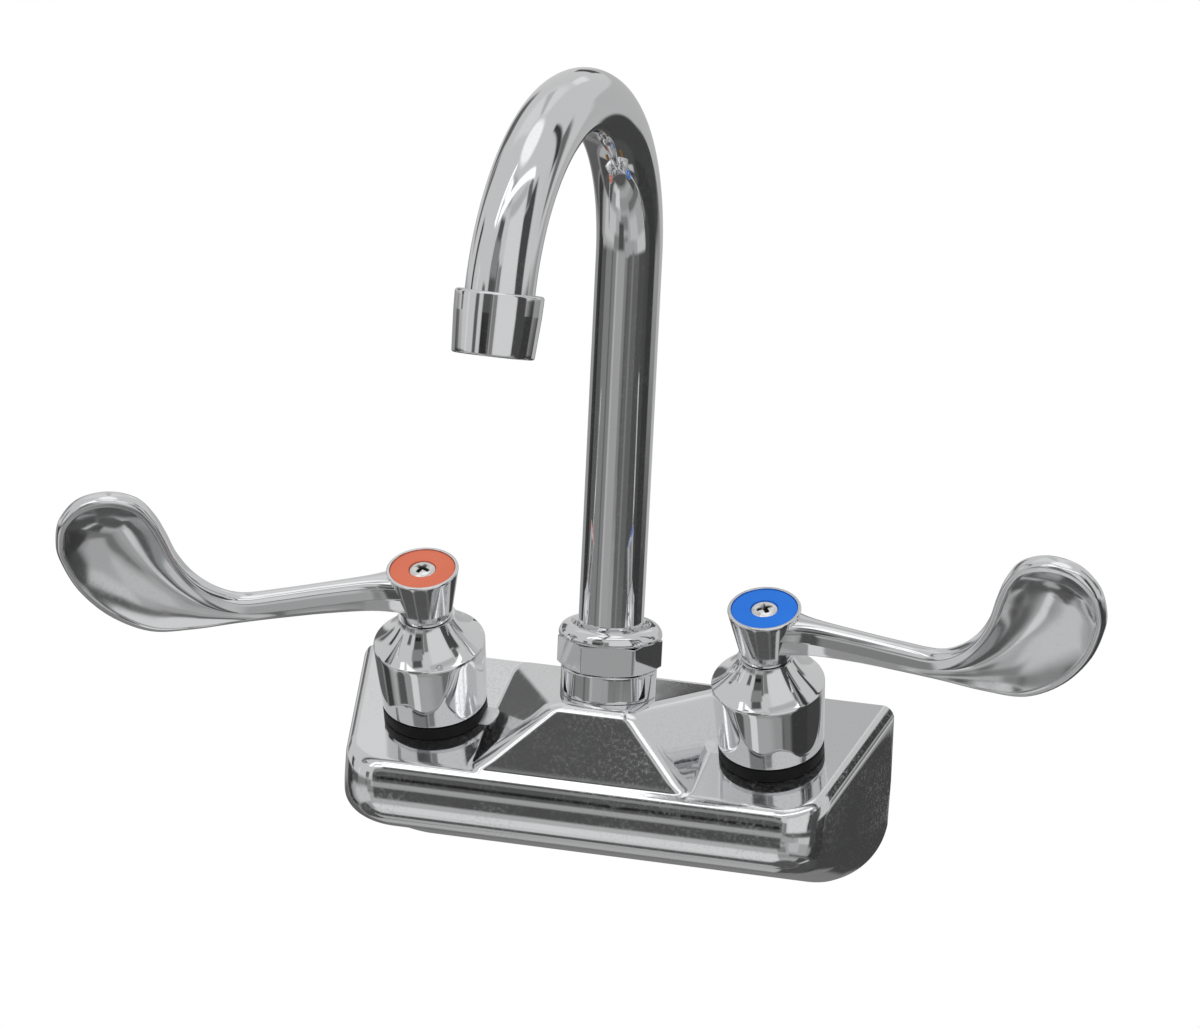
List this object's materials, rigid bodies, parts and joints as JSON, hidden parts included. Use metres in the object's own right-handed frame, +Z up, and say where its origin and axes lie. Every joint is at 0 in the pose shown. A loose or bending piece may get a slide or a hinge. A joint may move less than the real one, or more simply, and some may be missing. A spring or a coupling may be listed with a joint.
{
  "type": "gooseneck hand sink faucet",
  "caption": "Wall-mounted hand sink faucet: chrome body with a sloping deck, swivelling gooseneck spout with aerator and wrist-blade handles with red and blue indexes.",
  "frame": {"origin": "centre of the wall face, midway between the two inlets", "axes": "+X to the right as seen by the user, +Y into the wall, +Z up"},
  "size_m": [0.303, 0.1772, 0.2473],
  "materials": {
    "chrome": "polished chrome plate on cast brass and brass tube",
    "brass": "machined brass",
    "black_rubber": "moulded black rubber",
    "ceramic": "lapped white alumina ceramic",
    "steel": "plated steel",
    "white_plastic": "moulded acetal",
    "hot_colour": "orange-red moulded plastic index",
    "cold_colour": "blue moulded plastic index"
  },
  "bodies": {
    "body": {"valve_body": "chrome", "hot_inlet_shank": "brass", "hot_seat_seal": "black_rubber", "hot_cartridge": "brass", "hot_fixed_disc": "ceramic", "hot_base_gasket": "black_rubber", "hot_bell": "chrome", "cold_inlet_shank": "brass", "cold_seat_seal": "black_rubber", "cold_cartridge": "brass", "cold_fixed_disc": "ceramic", "cold_base_gasket": "black_rubber", "cold_bell": "chrome", "spout_bearing": "white_plastic", "spout_thrust_ring": "white_plastic", "spout_nut": "chrome"},
    "hot_lever": {"hot_stem": "brass", "hot_stem_seals": "black_rubber", "hot_stem_clip": "steel", "hot_moving_disc": "ceramic", "hot_handle": "chrome", "hot_index": "hot_colour", "hot_screw": "steel"},
    "cold_lever": {"cold_stem": "brass", "cold_stem_seals": "black_rubber", "cold_stem_clip": "steel", "cold_moving_disc": "ceramic", "cold_handle": "chrome", "cold_index": "cold_colour", "cold_screw": "steel"},
    "spout": {"spout_tube": "chrome", "spout_plug": "brass", "spout_seals": "black_rubber", "aerator_housing": "chrome", "aerator_washer": "black_rubber", "aerator_insert": "white_plastic"}
  },
  "joints": [
    {"name": "hot_turn", "type": "hinge", "parent": "body", "child": "hot_lever", "pos_m": [-0.0508, -0.0251, 0.01836], "axis": [0, -0.3746, 0.9272], "range_deg": [-23, 67]},
    {"name": "cold_turn", "type": "hinge", "parent": "body", "child": "cold_lever", "pos_m": [0.0508, -0.0251, 0.01836], "axis": [0, -0.3746, 0.9272], "range_deg": [-80.7, 9.3]},
    {"name": "spout_swivel", "type": "hinge", "parent": "body", "child": "spout", "pos_m": [0, -0.0209, 0.0285], "axis": [0, 0, 1], "range_deg": [-87.5, 96.5]}
  ]
}
